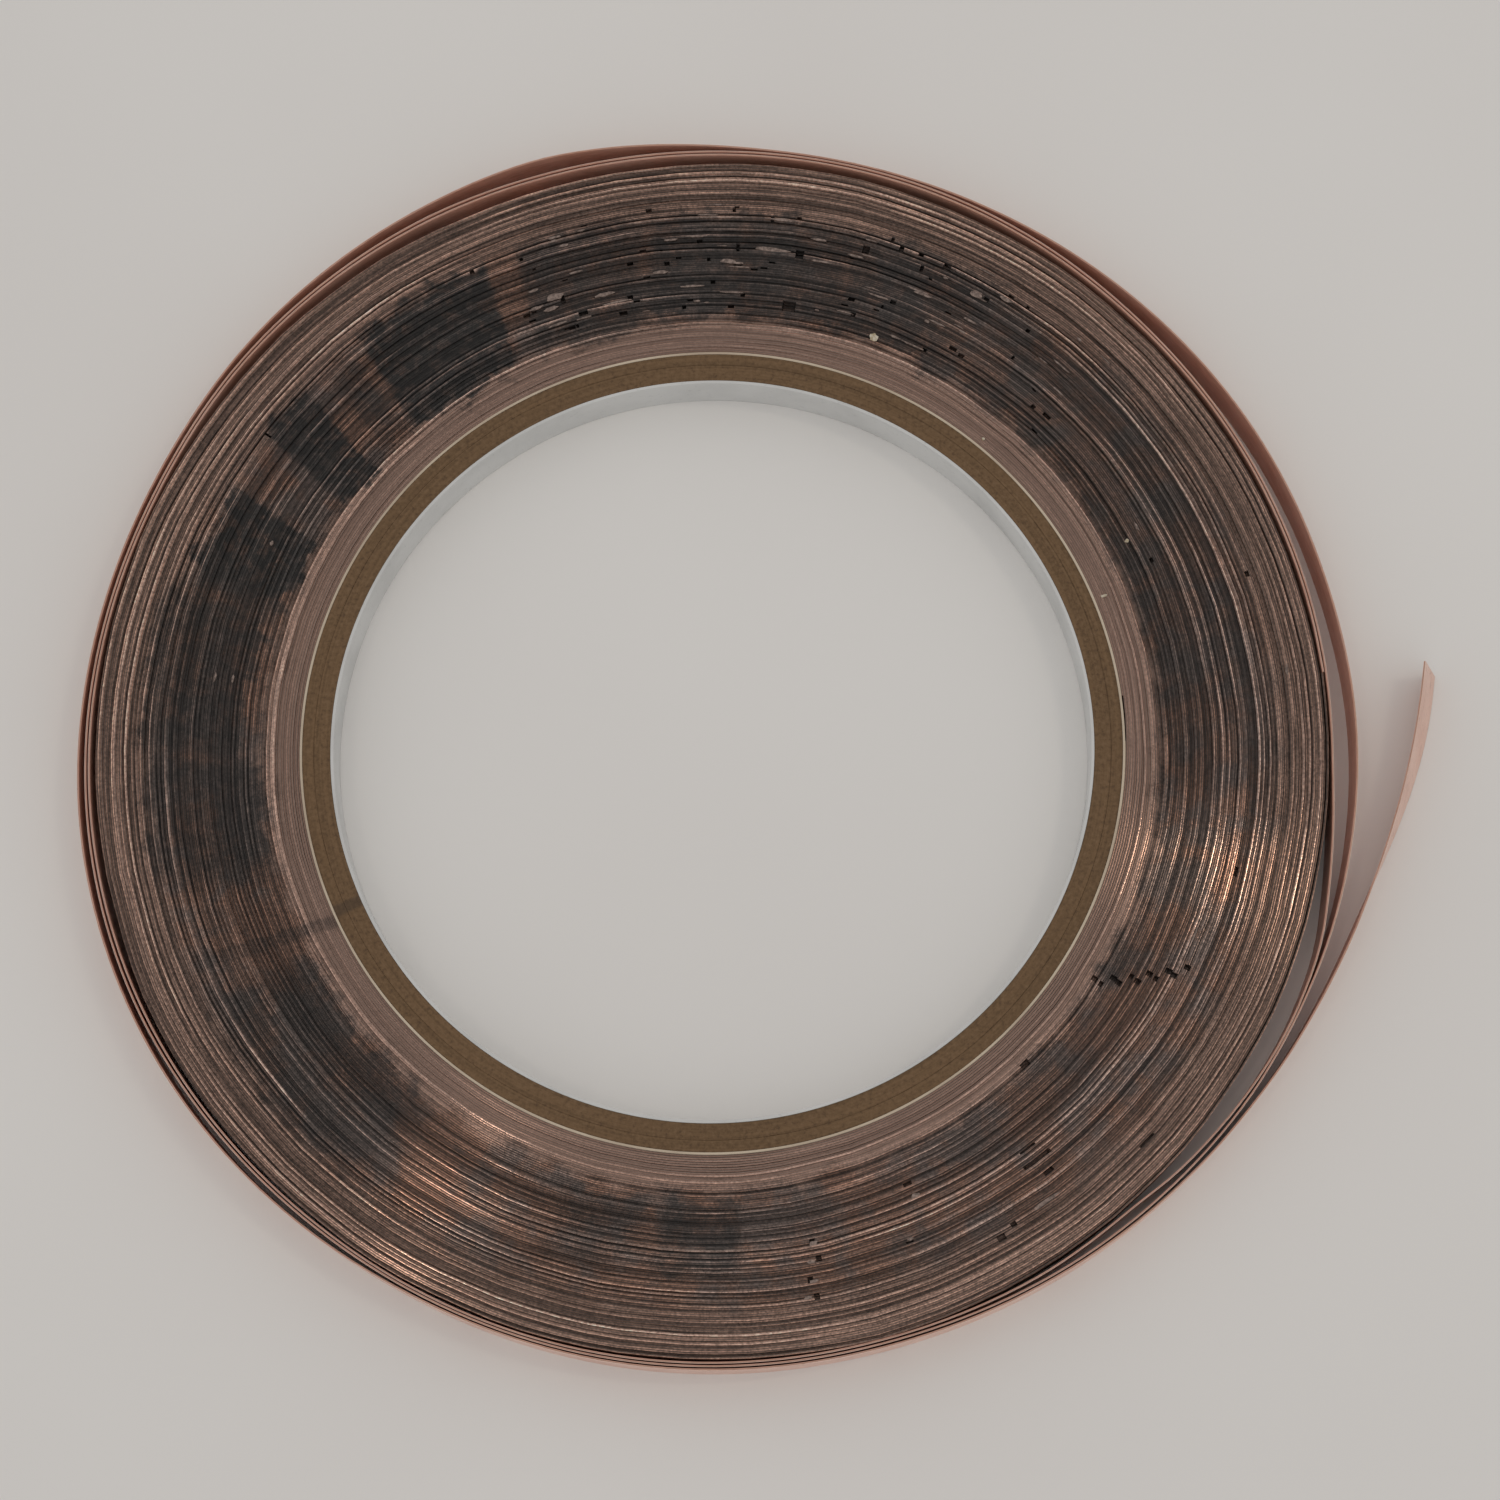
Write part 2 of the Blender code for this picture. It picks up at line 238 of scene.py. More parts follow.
def smooth_through(knots, values, at):
    """Read a cubic curve through the values at the knots."""
    slopes = np.gradient(values, knots, axis=0)
    i = np.clip(np.searchsorted(knots, at) - 1, 0, len(knots) - 2)
    span = (knots[i + 1] - knots[i])[:, None]
    t = (at - knots[i])[:, None] / span
    return (
        (2 * t**3 - 3 * t**2 + 1) * values[i]
        + (t**3 - 2 * t**2 + t) * span * slopes[i]
        + (3 * t**2 - 2 * t**3) * values[i + 1]
        + (t**3 - t**2) * span * slopes[i + 1]
    )


# Meshes


def unit(vectors):
    return vectors / np.linalg.norm(vectors, axis=-1, keepdims=True)


def new_piece(name, points, faces, material, body):
    """Make a closed mesh whose faces look outwards, and ride it on its body."""
    points, faces = np.asarray(points, float), np.asarray(faces)
    corners = points[faces]
    volume = sum(
        np.einsum("ij,ij->i", corners[:, 0], np.cross(corners[:, k], corners[:, k + 1])).sum()
        for k in range(1, faces.shape[1] - 1)
    )
    if volume < 0:
        faces = faces[:, ::-1]
    mesh = bpy.data.meshes.new(name)
    mesh.from_pydata(points.tolist(), [], faces.tolist())
    mesh.materials.append(material)
    mesh.shade_smooth()
    mesh.set_sharp_from_angle(angle=math.radians(SHARP_EDGE_ANGLE))
    piece = bpy.data.objects.new(name, mesh)
    bpy.context.scene.collection.objects.link(piece)
    if body:
        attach(piece, body)
    return piece


def store(piece, name, values):
    """Keep one number a vertex, for the materials to read."""
    made = piece.data.attributes.new(name, "FLOAT", "POINT")
    made.data.foreach_set("value", np.asarray(values, np.float32))


def loft(sections, closed_path=False):
    """Faces that join closed cross-sections of equal size into one body. Points go section by section."""
    count, size = sections
    rows = np.arange(count if closed_path else count - 1)
    faces = []
    for k in range(size):
        a = rows * size + k
        b = rows * size + (k + 1) % size
        c = ((rows + 1) % count) * size + (k + 1) % size
        d = ((rows + 1) % count) * size + k
        faces.append(np.stack([a, b, c, d], axis=1))
    return np.concatenate(faces)


def caps(count, size):
    """End faces for a cross-section made of two rows that face each other, as quads."""
    half = size // 2
    faces = []
    for start, turn in ((0, 1), ((count - 1) * size, -1)):
        for k in range(half - 1):
            quad = [start + k, start + k + 1, start + size - 2 - k, start + size - 1 - k]
            faces.append(quad[::-turn])
    return np.array(faces)


# Smooth random lines


def random_line(rng, at, step, size):
    """A smooth random value along a line: random knots a step apart, eased between."""
    places = (at - at.min()) / step
    knots = rng.uniform(-size, size, int(places.max()) + 3)
    low = places.astype(int)
    share = places - low
    share = share * share * (3 - 2 * share)
    return knots[low] * (1 - share) + knots[low + 1] * share


# Materials


class Paint:
    """Builds one procedural material. Each method adds a node and returns the socket that it gives."""

    def __init__(self, name):
        self.material = bpy.data.materials.new(name)
        self.material.use_nodes = True
        self.tree = self.material.node_tree
        self.shader = self.tree.nodes["Principled BSDF"]
        self.bumps = None

    def add(self, kind, output=0, inputs=(), **settings):
        node = self.tree.nodes.new("ShaderNode" + kind)
        for key, value in settings.items():
            setattr(node, key, value)
        for socket, source in inputs:
            self.feed(node.inputs[socket], source)
        return node.outputs[output]

    def feed(self, socket, source):
        if isinstance(source, bpy.types.NodeSocket):
            self.tree.links.new(source, socket)
        elif isinstance(source, tuple) and socket.type == "RGBA":
            socket.default_value = (*source, 1.0)
        else:
            socket.default_value = source

    def maths(self, operation, *sources):
        return self.add("Math", inputs=list(enumerate(sources)), operation=operation)

    def place(self):
        return self.add("TexCoord", output="Object")

    def parts(self, vector):
        node = self.tree.nodes.new("ShaderNodeSeparateXYZ")
        self.feed(node.inputs[0], vector)
        return node.outputs[0], node.outputs[1], node.outputs[2]

    def attribute(self, name):
        return self.add("Attribute", output="Fac", attribute_name=name)

    def joined(self, x, y, z):
        return self.add("CombineXYZ", inputs=[(0, x), (1, y), (2, z)])

    def noise(self, vector, scale, detail=2.0, roughness=0.5, distortion=0.0):
        return self.add(
            "TexNoise",
            inputs=[
                ("Vector", vector),
                ("Scale", scale),
                ("Detail", detail),
                ("Roughness", roughness),
                ("Distortion", distortion),
            ],
        )

    def remap(self, value, low, high, to_low=0.0, to_high=1.0, kind="SMOOTHSTEP"):
        return self.add(
            "MapRange",
            inputs=[(0, value), (1, low), (2, high), (3, to_low), (4, to_high)],
            interpolation_type=kind,
        )

    def mix(self, share, a, b, blend="MIX"):
        node = self.tree.nodes.new("ShaderNodeMix")
        node.data_type = "RGBA"
        node.blend_type = blend
        self.feed(node.inputs[0], share)
        self.feed(node.inputs[6], a)
        self.feed(node.inputs[7], b)
        return node.outputs[2]

    def bump(self, height, distance, strength=1.0):
        node = self.tree.nodes.new("ShaderNodeBump")
        self.feed(node.inputs["Height"], height)
        node.inputs["Distance"].default_value = distance
        node.inputs["Strength"].default_value = strength
        if self.bumps:
            self.tree.links.new(self.bumps, node.inputs["Normal"])
        self.bumps = node.outputs[0]

    def finish(self, colour, roughness, **constants):
        self.feed(self.shader.inputs["Base Color"], colour)
        self.feed(self.shader.inputs["Roughness"], roughness)
        if self.bumps:
            self.tree.links.new(self.bumps, self.shader.inputs["Normal"])
        for name, value in constants.items():
            self.feed(self.shader.inputs[name.replace("_", " ")], value)
        return self.material


def polar(paint):
    """The radius in millimetres and the direction in degrees of each point."""
    x, y, z = paint.parts(paint.place())
    squares = paint.maths("ADD", paint.maths("MULTIPLY", x, x), paint.maths("MULTIPLY", y, y))
    radius = paint.maths("MULTIPLY", paint.maths("SQRT", squares), 1 / MM)
    direction = paint.maths("DEGREES", paint.maths("ARCTAN2", y, x))
    return radius, direction, z


# Where the winding face is dark with oxide, with a painted shadow line in the last row: directions, radii in
# mm, how dark, how soft its two ends are
DARK_PATCHES = [
    (151.6, 163.0, 45.5, 56.2, 1.00, 0.3, 3.5),
    (139.0, 145.2, 45.0, 56.4, 1.00, 0.3, 0.3),
    (132.8, 136.2, 46.0, 55.6, 0.60, 0.6, 0.6),
    (115.6, 131.3, 44.6, 56.9, 1.00, 0.4, 0.5),
    (98.0, 112.3, 44.6, 56.8, 0.75, 1.5, 0.6),
    (163.0, 181.5, 47.0, 58.0, 0.80, 2.0, 2.0),
    (181.5, 196.0, 45.2, 57.2, 0.75, 1.0, 2.5),
    (58.0, 98.0, 45.6, 56.8, 0.80, 5.0, 2.0),
    (2.0, 58.0, 45.6, 55.0, 0.58, 6.0, 6.0),
    (-6.0, 2.0, 45.5, 56.0, 0.45, 2.5, 3.0),
    (-32.5, -27.5, 44.5, 47.5, 0.60, 1.0, 1.0),
    (-60.0, -36.0, 45.0, 52.0, 0.25, 4.0, 3.0),
    (-96.0, -87.0, 46.0, 53.0, 0.75, 1.2, 0.8),
    (-108.0, -98.0, 46.5, 53.0, 0.50, 2.0, 2.0),
    (-152.0, -128.0, 45.5, 56.5, 0.65, 1.5, 3.0),
    # Painted shadow: a dark radial line across the winding face, going on from the core's painted shadow line
    (-156.6, -154.8, 38.0, 55.6, 0.50, 0.3, 0.4),
]
PATCH_SLANT = 0.15


def oxide_and_shadow_share(paint, radius, direction, turn):
    """How dark each place on the winding face is, with ends that are ragged from turn to turn."""
    turn_point = paint.joined(paint.maths("MULTIPLY", turn, 1.7), 0.0, 0.0)
    ragged = paint.maths("SUBTRACT", paint.noise(turn_point, 1.0, 2.0), 0.5)
    uneven = paint.maths("SUBTRACT", paint.noise(paint.place(), 420.0, 4.0, 0.6), 0.5)
    blotches = paint.noise(paint.place(), 760.0, 3.0, 0.6)
    slanted = paint.maths("MULTIPLY_ADD", paint.maths("SUBTRACT", radius, 51.0), PATCH_SLANT, direction)
    at_direction = paint.maths("MULTIPLY_ADD", ragged, 1.4, slanted)
    at_direction = paint.maths("MULTIPLY_ADD", uneven, 1.6, at_direction)
    at_radius = paint.maths("MULTIPLY_ADD", uneven, 7.0, radius)
    total = None
    for start, end, inner, outer, dark, soft_start, soft_end in DARK_PATCHES:
        middle = (start + end) / 2
        half = (end - start) / 2
        away = paint.maths("WRAP", paint.maths("SUBTRACT", at_direction, middle), 180.0, -180.0)
        after = paint.remap(away, -half - soft_start, -half + soft_start)
        before = paint.remap(away, half + soft_end, half - soft_end)
        above = paint.remap(at_radius, inner - 0.5, inner + 0.7)
        below = paint.remap(at_radius, outer + 0.7, outer - 0.7)
        sides = paint.maths("MULTIPLY", after, before)
        rims = paint.maths("MULTIPLY", above, below)
        share = paint.maths("MULTIPLY", paint.maths("MULTIPLY", sides, rims), dark)
        total = share if total is None else paint.maths("MAXIMUM", total, share)
    return paint.maths("MULTIPLY", total, paint.remap(blotches, 0.36, 0.56, 0.62, 1.0))


def wound_edge_colour(paint, looks):
    """Colour of the winding face: pale next to the core, dark and mottled in the middle, brown outside, with
    painted highlights on proud edges and painted shade on sunk ones.
    """
    radius, direction, z = polar(paint)
    turn = paint.attribute("turn")
    sunk = paint.attribute("sunk")
    place = paint.place()
    uneven = paint.maths("SUBTRACT", paint.noise(place, 300.0, 4.0, 0.6), 0.5)
    at_radius = paint.maths("MULTIPLY_ADD", uneven, 5.0, radius)
    cloud = paint.noise(place, 210.0, 4.0, 0.6)
    middle = paint.mix(paint.remap(cloud, 0.40, 0.60), looks["brown"], looks["grey"])
    colour = paint.mix(paint.remap(at_radius, 44.2, 46.2), looks["inner"], middle)
    colour = paint.mix(paint.remap(at_radius, 54.5, 58.5), colour, looks["outer"])
    dark = oxide_and_shadow_share(paint, radius, direction, turn)
    # The oxide colour also paints the radial painted shadow line
    colour = paint.mix(dark, colour, looks["oxide"])
    streak_point = paint.joined(paint.maths("MULTIPLY", turn, 4.3), 0.0, 0.0)
    streaks = paint.noise(streak_point, 1.0, 4.0, 0.7)
    regular = paint.maths("SINE", paint.maths("MULTIPLY", radius, math.tau * MM / LINE_SPACING))
    lines = paint.maths(
        "MULTIPLY",
        paint.remap(streaks, 0.36, 0.66, 0.6, 1.4, "LINEAR"),
        paint.remap(regular, -1.0, 1.0, 0.66, 1.34, "LINEAR"),
    )
    # Painted light and shade: proud edges are painted lighter, sunk edges darker, partly painted shade and
    # partly their duller oxide
    proud = paint.remap(sunk, 0.03, 0.20, 1.6, 0.5, "LINEAR")
    grain = paint.remap(paint.noise(place, 3400.0, 3.0, 0.7), 0.38, 0.62, 0.6, 1.4, "LINEAR")
    dash_point = paint.joined(paint.maths("MULTIPLY", turn, 70.0), 0.0, 0.0)
    dashes = paint.remap(paint.noise(dash_point, 1.0, 4.0, 0.7), 0.35, 0.65, 0.7, 1.3, "LINEAR")
    lightness = paint.maths("MULTIPLY", paint.maths("MULTIPLY", lines, proud), grain)
    lightness = paint.maths("MULTIPLY", lightness, dashes)
    calm = paint.maths("MULTIPLY", paint.remap(at_radius, 45.6, 43.6), 0.62)
    lightness = paint.maths("MULTIPLY", lightness, paint.maths("SUBTRACT", 1.0, calm))
    lightness = paint.maths("ADD", lightness, calm)
    # Painted highlight: the pale proud colour on edges that stand proud, in streaks from turn to turn
    painted_edge_highlight = paint.maths("MULTIPLY", paint.remap(sunk, 0.05, 0.015), paint.remap(streaks, 0.40, 0.56))
    colour = paint.mix(paint.maths("MULTIPLY", painted_edge_highlight, 0.62), colour, looks["proud"])
    colour = paint.mix(1.0, colour, paint.joined(lightness, lightness, lightness), "MULTIPLY")
    return colour, dark


def wound_foil_material():
    paint = Paint("oxidised_copper_edge")
    colour, dark = wound_edge_colour(paint, {
        "inner": (0.42, 0.26, 0.20),
        "brown": (0.30, 0.165, 0.115),
        "grey": (0.20, 0.145, 0.125),
        "outer": (0.40, 0.245, 0.185),
        "oxide": (0.044, 0.038, 0.035),
        # Painted highlight colour of proud edges
        "proud": (0.52, 0.35, 0.285),
    })
    speckle = paint.noise(paint.place(), 2600.0, 3.0, 0.6)
    rough_here = paint.remap(paint.attribute("sunk"), 0.06, 0.16, 0.18, 0.34, "LINEAR")
    roughness = paint.maths("MAXIMUM", rough_here, paint.remap(dark, 0.0, 1.0, 0.16, 0.42))
    tangent = paint.add("Tangent", direction_type="RADIAL", axis="Z")
    paint.bump(speckle, 0.012 * MM, 0.6)
    return paint.finish(
        colour,
        roughness,
        Metallic=paint.remap(dark, 0.0, 1.0, 0.8, 0.3),
        Anisotropic=1.0,
        Anisotropic_Rotation=0.25,
        Tangent=tangent,
    )


def wound_paper_material():
    paint = Paint("release_paper_edge")
    colour, dark = wound_edge_colour(paint, {
        "inner": (0.30, 0.205, 0.165),
        "brown": (0.150, 0.092, 0.070),
        "grey": (0.112, 0.086, 0.076),
        "outer": (0.215, 0.145, 0.115),
        "oxide": (0.029, 0.026, 0.025),
        # Painted highlight colour of proud edges
        "proud": (0.33, 0.24, 0.20),
    })
    fibre = paint.noise(paint.place(), 3800.0, 2.0)
    paint.bump(fibre, 0.012 * MM, 0.6)
    return paint.finish(colour, 0.7)


def flake_material():
    """Foil edge that was bent over and rubbed: pinkish, rough and scratched."""
    paint = Paint("bent_foil_edge")
    scratch = paint.noise(paint.place(), 2600.0, 4.0, 0.7)
    colour = paint.mix(paint.remap(scratch, 0.35, 0.65), (0.13, 0.095, 0.08), (0.33, 0.25, 0.215))
    paint.bump(scratch, 0.02 * MM, 0.8)
    return paint.finish(colour, 0.5, Metallic=0.4)


def speck_material():
    paint = Paint("pale_dust")
    grain = paint.noise(paint.place(), 3000.0, 3.0, 0.6)
    colour = paint.mix(paint.remap(grain, 0.35, 0.65), (0.42, 0.34, 0.22), (0.62, 0.56, 0.46))
    paint.bump(grain, 0.02 * MM, 0.8)
    return paint.finish(colour, 0.8)


def copper_material():
    """Bright rolled copper: fine lines along the tape, soft tarnish and a few darker specks."""
    paint = Paint("copper_foil")
    lines = paint.joined(
        paint.maths("MULTIPLY", paint.attribute("along"), 0.06),
        paint.maths("MULTIPLY", paint.attribute("up"), 9.0),
        0.0,
    )
    rolled = paint.noise(lines, 1.0, 4.0, 0.6)
    cloud = paint.noise(paint.place(), 240.0, 3.0, 0.55)
    speck = paint.noise(paint.place(), 1500.0, 2.0, 0.5)
    colour = paint.mix(paint.remap(cloud, 0.35, 0.7), (0.93, 0.66, 0.56), (0.84, 0.55, 0.45))
    colour = paint.mix(paint.remap(rolled, 0.45, 0.75, 0.0, 0.35), colour, (0.95, 0.74, 0.66))
    colour = paint.mix(paint.remap(speck, 0.62, 0.74, 0.0, 0.5), colour, (0.42, 0.25, 0.19))
    roughness = paint.remap(rolled, 0.3, 0.7, 0.24, 0.36)
    paint.bump(rolled, 0.004 * MM, 0.4)
    return paint.finish(colour, roughness, Metallic=1.0)


def adhesive_material():
    paint = Paint("clear_adhesive")
    cloud = paint.noise(paint.place(), 900.0, 3.0)
    colour = paint.mix(paint.remap(cloud, 0.35, 0.7), (0.50, 0.36, 0.25), (0.36, 0.24, 0.17))
    paint.bump(cloud, 0.006 * MM, 0.5)
    return paint.finish(colour, paint.remap(cloud, 0.3, 0.7, 0.2, 0.4))


def release_paper_material():
    """Smooth tan release paper, with its siliconed face a little shiny and fibres along the tape."""
    paint = Paint("release_paper")
    lines = paint.joined(
        paint.maths("MULTIPLY", paint.attribute("along"), 0.5),
        paint.maths("MULTIPLY", paint.attribute("up"), 4.0),
        0.0,
    )
    fibres = paint.noise(lines, 1.0, 4.0, 0.65, 0.4)
    cloud = paint.noise(paint.place(), 160.0, 2.0)
    colour = paint.mix(paint.remap(fibres, 0.35, 0.7), (0.60, 0.31, 0.225), (0.47, 0.24, 0.17))
    colour = paint.mix(paint.remap(cloud, 0.4, 0.7, 0.0, 0.5), colour, (0.62, 0.37, 0.29))
    paint.bump(fibres, 0.01 * MM, 0.4)
    return paint.finish(colour, paint.remap(fibres, 0.3, 0.7, 0.35, 0.5))


def kraft_material():
    """Brown core board seen on its cut end: rings of ply, short fibres and a painted shadow line across it.
    """
    paint = Paint("kraft_board")
    radius, direction, z = polar(paint)
    ring = paint.joined(paint.maths("MULTIPLY", radius, 3.2), paint.maths("MULTIPLY", direction, 0.02), z)
    rings = paint.noise(ring, 1.0, 4.0, 0.6)
    fibre = paint.noise(paint.place(), 2200.0, 4.0, 0.7)
    colour = paint.mix(paint.remap(rings, 0.35, 0.65), (0.124, 0.070, 0.030), (0.170, 0.098, 0.045))
    colour = paint.mix(paint.remap(fibre, 0.45, 0.75, 0.0, 0.7), colour, (0.21, 0.128, 0.068))
    colour = paint.mix(paint.remap(fibre, 0.5, 0.3, 0.0, 0.6), colour, (0.062, 0.033, 0.016))
    # Painted shadow: a dark radial line across the core's end near -155 degrees, which goes on across the
    # winding face
    painted_shadow_line = paint.remap(paint.maths("ABSOLUTE", paint.maths("ADD", direction, 155.4)), 1.2, 0.5, 0.0, 0.55)
    colour = paint.mix(painted_shadow_line, colour, (0.05, 0.032, 0.02))
    paint.bump(fibre, 0.03 * MM, 0.7)
    return paint.finish(colour, 0.82)


def pale_paper_material(name, light, shade, grain):
    paint = Paint(name)
    cloud = paint.noise(paint.place(), 120.0, 3.0)
    fibre = paint.noise(paint.place(), grain, 4.0, 0.7)
    colour = paint.mix(paint.remap(cloud, 0.35, 0.7), light, shade)
    colour = paint.mix(paint.remap(fibre, 0.55, 0.8, 0.0, 0.4), colour, tuple(c * 0.6 for c in shade))
    paint.bump(fibre, 0.02 * MM, 0.5)
    return paint.finish(colour, 0.75)


# Core


def core_ring(name, material):
    """Turn a ply of the core with eased rims and a slightly uneven cut end."""
    inner, outer = ring_radii(name)
    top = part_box(name)[1].z
    rng = np.random.default_rng(len(name))
    rim = min(CORE_RIM, (outer - inner) * 0.3)
    across = max(4, int((outer - inner) / CORE_END_STEP))
    shares = np.linspace(0, 1, across)
    end_radii = inner + rim + (outer - inner - 2 * rim) * shares
    directions = np.linspace(0, math.tau, CORE_STEPS, endpoint=False)
    profile = [(inner, top - rim)] + [(r, top) for r in end_radii] + [(outer, top - rim)]
    profile += [(outer, rim - top)] + [(r, -top) for r in end_radii[::-1]] + [(inner, rim - top)]
    profile = np.array(profile)
    points = np.empty((CORE_STEPS, len(profile), 3))
    points[:, :, 0] = profile[:, 0] * np.cos(directions)[:, None]
    points[:, :, 1] = profile[:, 0] * np.sin(directions)[:, None]
    points[:, :, 2] = profile[:, 1]
    ends = np.abs(profile[:, 1]) > top - rim / 2
    sunk = rng.uniform(0, CORE_END_UNEVEN, (CORE_STEPS, ends.sum()))
    points[:, ends, 2] -= np.sign(profile[ends, 1]) * sunk
    faces = loft((CORE_STEPS, len(profile)), True)
    ring = new_piece(name + "_board", points.reshape(-1, 3), faces, material, "roll")
    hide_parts(name)


def build_core():
    kraft = kraft_material()
    core_ring("core_inner_liner", pale_paper_material(
        "white_lining", (0.66, 0.66, 0.65), (0.58, 0.58, 0.57), 1800.0))
    core_ring("core_kraft_inner", kraft)
    core_ring("core_kraft_outer", kraft)
    core_ring("core_cover_ply", pale_paper_material(
        "cream_cover", (0.62, 0.52, 0.40), (0.50, 0.40, 0.30), 2600.0))
    build_anchor()


def build_anchor():
    """A thin film of adhesive between the cover and the first turn, as long as the CAD's patch."""
    cover = ring_radii("core_cover_ply")[1]
    points = node_points("start_anchor")
    low, high = points[:, 2].min(), points[:, 2].max()
    seen_from_axis = directions_of(points)
    directions = np.radians(np.linspace(seen_from_axis.min(), seen_from_axis.max(), ANCHOR_STEPS))
    rng = np.random.default_rng(11)
    sunk = rng.uniform(0.02, 0.12, ANCHOR_STEPS) * MM
    corners = [(ANCHOR_GAP, high - sunk), (ANCHOR_GAP + ANCHOR_FILM, high - sunk),
               (ANCHOR_GAP + ANCHOR_FILM, low + sunk), (ANCHOR_GAP, low + sunk)]
    film = np.empty((ANCHOR_STEPS, 4, 3))
    for k, (out, height) in enumerate(corners):
        film[:, k, 0] = (cover + out) * np.cos(directions)
        film[:, k, 1] = (cover + out) * np.sin(directions)
        film[:, k, 2] = height
    faces = np.vstack([loft((ANCHOR_STEPS, 4)), caps(ANCHOR_STEPS, 4)])
    piece = new_piece("anchor_film", film.reshape(-1, 3), faces, adhesive, "roll")
    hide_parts("start_anchor")


# Tight turns


def pack_path(rng, turned, join_radius):
    """Radius along the wound strip, from the core out to where the loose tape begins."""
    inner = ring_radii("wound_pack")[0] + PACK_START + PACK_PAPER_WIDTH
    outer = pack_outline(turned) - PACK_FOIL_WIDTH
    turns = (turned - turned[0]) / math.tau
    whole = np.floor(turns)
    step = np.clip((turns - whole - 1) / STEP_SHARE + 1, 0, 1)
    stepped = whole + step * step * (3 - 2 * step)
    share = np.clip(turns / STEPPED_TURNS, 0, 1)
    wound = (stepped * (1 - share) + turns * share) / PACK_TURNS
    radius = inner + (outer - inner) * wound
    radius += random_line(rng, turned, 1.3, 0.012 * MM) * share
    radius += waves(rng, turned, radius) * share
    left = (turned[-1] - turned) / math.radians(150)
    ease = np.clip(1 - left, 0, 1) ** 2
    return radius + (join_radius - radius[-1]) * ease


def waves(rng, turned, radius):
    """Waviness that neighbouring turns share, because each one lies on the last."""
    total = np.zeros(len(turned))
    for crests in (3, 5, 9, 14, 22, 31, 43, 58):
        size = 0.07 * MM / (1 + crests / 12)
        shift = rng.uniform(0, math.tau)
        twist = rng.uniform(-0.8, 0.8) / MM
        total += size * np.sin(crests * turned + shift + twist * (radius - radius[0]))
    return total


def worn_marks(seed, count, lengths, heights):
    """Small marks at random in the worn part of the winding face."""
    rng = np.random.default_rng(seed)
    marks = []
    for _ in range(count):
        direction = rng.uniform(*WORN_DIRECTIONS)
        marks.append((direction, rng.uniform(*WORN_RADII), rng.uniform(*lengths), rng.uniform(*heights)))
    return marks


def all_nicks():
    """The single nicks, the small ones of the worn part, the diagonal row and the short column."""
    nicks = NICKS + worn_marks(21, WORN_NICKS, (0.2, 0.7), (0.1, 0.35))
    for start, end, count in (NICK_ROW, NICK_COLUMN):
        for i in range(count):
            share = i / (count - 1)
            direction = start[0] + (end[0] - start[0]) * share
            radius = start[1] + (end[1] - start[1]) * share
            nicks.append((direction + 0.4 * (-1) ** i, radius, 0.45, 0.45))
    return nicks


def nick_places(turned, radius):
    """Turned angle and half width of each turn that a nick cuts."""
    places = []
    for direction, middle, width, height in all_nicks():
        first = turned[0] + (math.radians(direction) - turned[0]) % math.tau
        passes = first + math.tau * np.arange(PACK_TURNS - 1)
        radii = np.interp(passes, turned, radius) / MM
        half = width / middle / 2
        places += [(place, half) for place in passes[np.abs(radii - middle) < height / 2 + 0.06]]
    return places


def nick_stations(places):
    """Extra stations, so that each nick has upright sides."""
    extra = [place + side * half for place, half in places for side in (-1.25, -1, 1, 1.25)]
    return np.array(extra)


def nick_drop(turned, places):
    drop = np.zeros(len(turned))
    for place, half in places:
        near = slice(*np.searchsorted(turned, [place - 2 * half, place + 2 * half]))
        inside = np.clip((1.25 - np.abs(turned[near] - place) / half) / 0.25, 0, 1)
        drop[near] = np.maximum(drop[near], inside * NICK_DEPTH)
    return drop


def edge_heights(rng, turned, mean_drop, runs):
    """How far the strip's edge lies below the roll's face: gentle waves, with runs proud or sunk."""
    drop = mean_drop + random_line(rng, turned, 0.9, 0.035 * MM) + random_line(rng, turned, 0.1, 0.012 * MM)
    for _ in range(runs):
        start = rng.uniform(turned[0], turned[-1])
        length = math.radians(rng.uniform(15, 170))
        ramp = math.radians(rng.uniform(2, 12))
        change = rng.choice([-0.8, 1.0], p=[0.4, 0.6]) * rng.uniform(0.05, 0.14) * MM
        rise = np.clip((turned - start) / ramp, 0, 1) * np.clip((start + length - turned) / ramp, 0, 1)
        drop = drop + change * rise
    share = 0.35 + 0.65 * np.clip((turned - turned[0]) / math.tau / CALM_TURNS - 0.3, 0, 1)
    drop = mean_drop + (drop - mean_drop) * share
    return np.clip(drop, 0.004 * MM, 0.4 * MM)


def bake_map(piece, turned, size, faces_of_side):
    """Lay the strip out for baking: a row a turn, most of the room for the top and bottom edges."""
    mesh = piece.data
    layer = mesh.uv_layers.new(name="OFBake")
    count = len(turned)
    first = turned[0]
    corner = np.empty(len(mesh.loops), np.int32)
    mesh.loops.foreach_get("vertex_index", corner)
    loop_face = np.repeat(np.arange(len(mesh.polygons)), 4)
    faces = corner.reshape(-1, 4)
    station = faces // size
    side_of_face, low = faces_of_side(faces, station, size)
    start = station.min(axis=1)
    row = np.floor((turned[start] - first) / math.tau + 1e-6)
    u = (turned[station] - first) / math.tau - row[:, None]
    band_low = np.array([0.0, 0.5, 0.64, 0.9])[side_of_face]
    band_high = np.array([0.5, 0.64, 0.9, 1.0])[side_of_face]
    height = (band_high - band_low) / PACK_TURNS
    v = band_low[:, None] + (row[:, None] + 0.15 + 0.7 * low) * height[:, None]
    uv = np.stack([u, v], axis=-1).reshape(-1, 2)
    layer.data.foreach_set("uv", uv.astype(np.float32).ravel())


